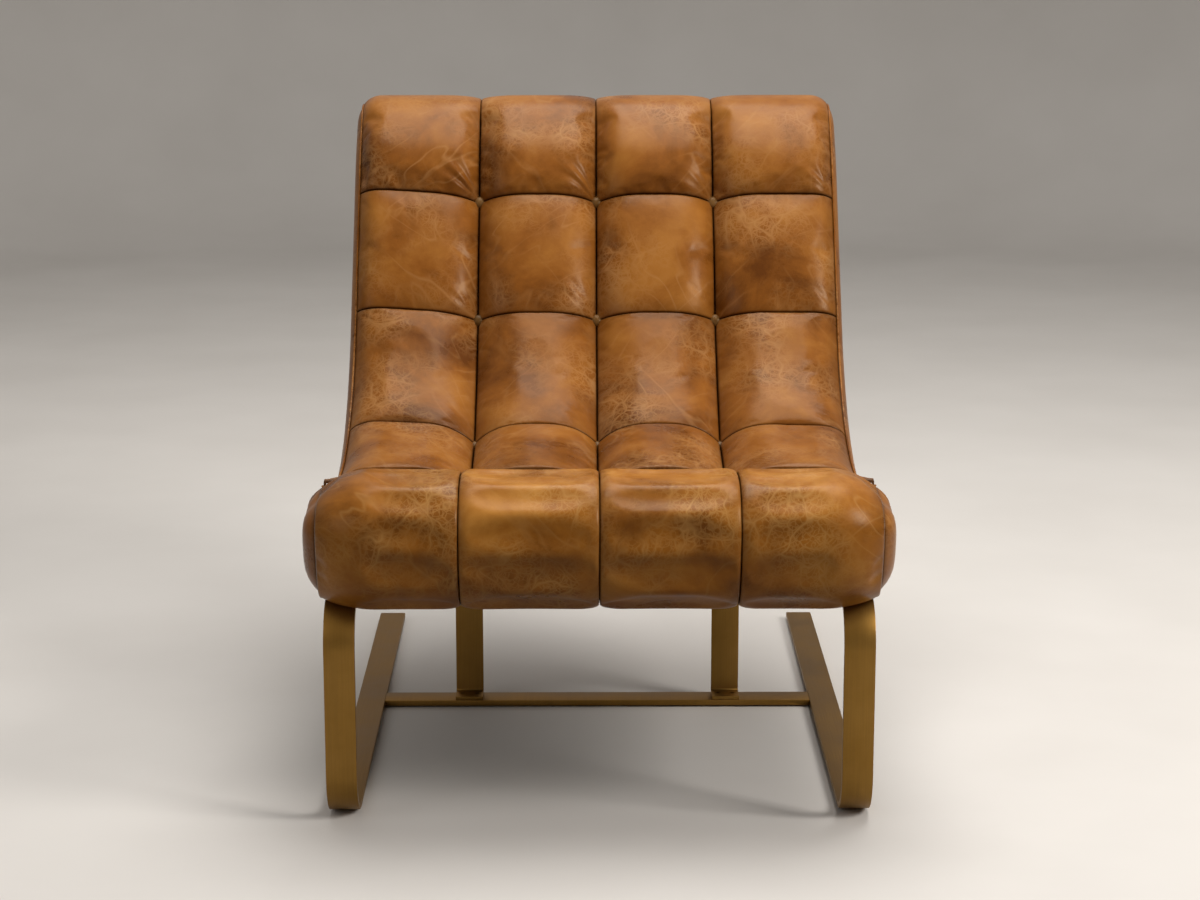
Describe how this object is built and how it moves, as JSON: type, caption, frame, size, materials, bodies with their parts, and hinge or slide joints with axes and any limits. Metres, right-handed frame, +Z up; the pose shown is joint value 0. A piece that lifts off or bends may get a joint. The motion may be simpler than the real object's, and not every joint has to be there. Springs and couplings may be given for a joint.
{
  "type": "tufted lounge chair",
  "caption": "Armless lounge chair with a curved, button-tufted leather body over a front roll, on two bent flat-bar sled runners joined by a floor crossbar.",
  "frame": {"origin": "on the floor, midway across the chair and midway between the front of the roll and the rear ends of the runners", "axes": "+X to the sitter's left, which is the right of the picture, -Y the way the sitter faces, +Z up"},
  "size_m": [0.7, 0.9653, 0.8216],
  "materials": {
    "leather": "pulled-up caramel leather with a soft gloss",
    "wadding": "matt white wadding",
    "foam": "matt cream foam",
    "deck_cloth": "plain woven deck cloth",
    "black_cloth": "thin black lining cloth",
    "webbing": "woven elastic webbing",
    "plywood": "sanded birch plywood",
    "hardwood": "planed beech",
    "bronze_bar": "brushed antique bronze on flat steel bar",
    "zinc_steel": "zinc-plated steel",
    "glide_plastic": "dark moulded plastic",
    "twine": "waxed twine",
    "felt": "pressed felt"
  },
  "bodies": {
    "root": {"seat_front_panels": "leather", "seat_rear_panels": "leather", "back_lower_panels": "leather", "back_middle_panels": "leather", "back_top_panels": "leather", "front_roll_panels": "leather", "side_panel_left": "leather", "side_panel_right": "leather", "edge_welt_left": "leather", "edge_welt_right": "leather", "outside_back_panel": "leather", "back_buttons": "leather", "seat_buttons": "leather", "tufting_twines": "twine", "backing_pads": "felt", "side_padding_left": "wadding", "side_padding_right": "wadding", "seat_foam": "foam", "back_foam": "foam", "front_roll_foam": "foam", "top_roll_foam": "foam", "deck_cloth": "deck_cloth", "seat_webbing": "webbing", "back_webbing": "webbing", "side_frame_left": "plywood", "side_frame_right": "plywood", "front_seat_rail": "hardwood", "rear_seat_rail": "hardwood", "lumbar_rail": "hardwood", "top_rail": "hardwood", "corner_blocks": "hardwood", "frame_tenons": "hardwood", "dust_cover": "black_cloth", "side_loop_left": "bronze_bar", "side_loop_right": "bronze_bar", "upright_left": "bronze_bar", "upright_right": "bronze_bar", "floor_crossbar": "bronze_bar", "crossbar_rivets": "bronze_bar", "loop_bolts": "zinc_steel", "upright_bolts": "zinc_steel", "insert_nuts": "zinc_steel", "floor_glides": "glide_plastic"}
  },
  "joints": []
}
